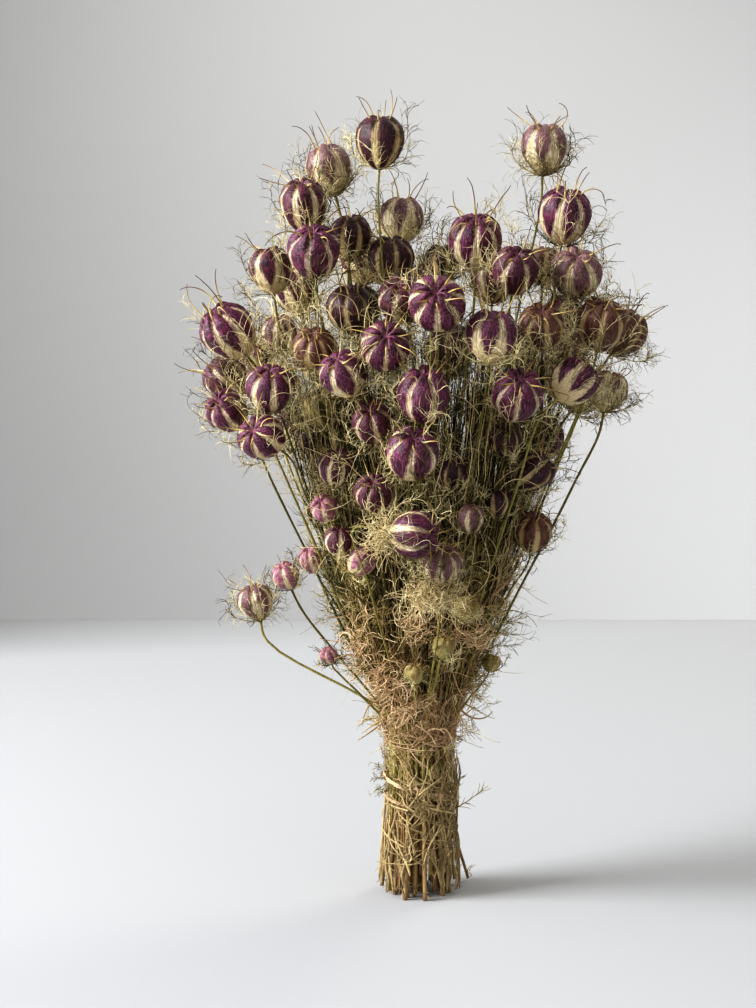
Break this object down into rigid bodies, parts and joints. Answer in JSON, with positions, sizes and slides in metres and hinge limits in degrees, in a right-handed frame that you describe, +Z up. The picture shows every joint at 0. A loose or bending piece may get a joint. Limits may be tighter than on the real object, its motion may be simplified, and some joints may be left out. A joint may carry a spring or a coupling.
{
  "type": "dried nigella seed pod bunch",
  "caption": "Tied bunch of dried love-in-a-mist stems with striped, horned seed pods, standing on its cut stem ends.",
  "frame": {"origin": "on the surface the bunch stands on, under the middle of its bounding box", "axes": "+Z up along the bunch from the cut ends to the pods, +X to the right across its front, +Y from its front to its back"},
  "size_m": [0.2154, 0.1823, 0.3733],
  "materials": {
    "plum_pods": "dry plant skin, plum with cream ridges, on olive stalks",
    "pale_pods": "dry plant skin, cream with dull pink bands, on olive stalks",
    "tan_pods": "dry plant skin, brown and tan, on olive stalks",
    "raffia": "matt dry strand"
  },
  "bodies": {
    "root": {"seed_stem_01": "plum_pods", "seed_stem_02": "pale_pods", "seed_stem_03": "plum_pods", "seed_stem_04": "plum_pods", "seed_stem_05": "plum_pods", "seed_stem_06": "pale_pods", "seed_stem_07": "plum_pods", "seed_stem_08": "plum_pods", "seed_stem_09": "pale_pods", "seed_stem_10": "plum_pods", "seed_stem_11": "plum_pods", "seed_stem_12": "plum_pods", "seed_stem_13": "pale_pods", "seed_stem_14": "tan_pods", "seed_stem_15": "plum_pods", "seed_stem_16": "plum_pods", "seed_stem_17": "pale_pods", "seed_stem_18": "plum_pods", "seed_stem_19": "plum_pods", "seed_stem_20": "plum_pods", "seed_stem_21": "plum_pods", "seed_stem_22": "plum_pods", "seed_stem_23": "tan_pods", "seed_stem_24": "plum_pods", "seed_stem_25": "plum_pods", "seed_stem_26": "plum_pods", "seed_stem_27": "plum_pods", "seed_stem_28": "plum_pods", "seed_stem_29": "plum_pods", "seed_stem_30": "plum_pods", "seed_stem_31": "plum_pods", "seed_stem_32": "plum_pods", "seed_stem_33": "plum_pods", "seed_stem_34": "plum_pods", "seed_stem_35": "tan_pods", "seed_stem_36": "tan_pods", "seed_stem_37": "tan_pods", "seed_stem_38": "plum_pods", "seed_stem_39": "pale_pods", "seed_stem_40": "plum_pods", "seed_stem_41": "pale_pods", "seed_stem_42": "pale_pods", "seed_stem_43": "plum_pods", "seed_stem_44": "plum_pods", "seed_stem_45": "pale_pods", "seed_stem_46": "pale_pods", "seed_stem_47": "plum_pods", "seed_stem_48": "plum_pods", "seed_stem_49": "plum_pods", "seed_stem_50": "plum_pods", "seed_stem_51": "plum_pods", "seed_stem_52": "plum_pods", "seed_stem_53": "plum_pods", "seed_stem_54": "plum_pods", "seed_stem_55": "plum_pods", "seed_stem_56": "plum_pods", "seed_stem_57": "plum_pods", "seed_stem_58": "plum_pods", "seed_stem_59": "plum_pods", "raffia_tie": "raffia"}
  },
  "joints": []
}
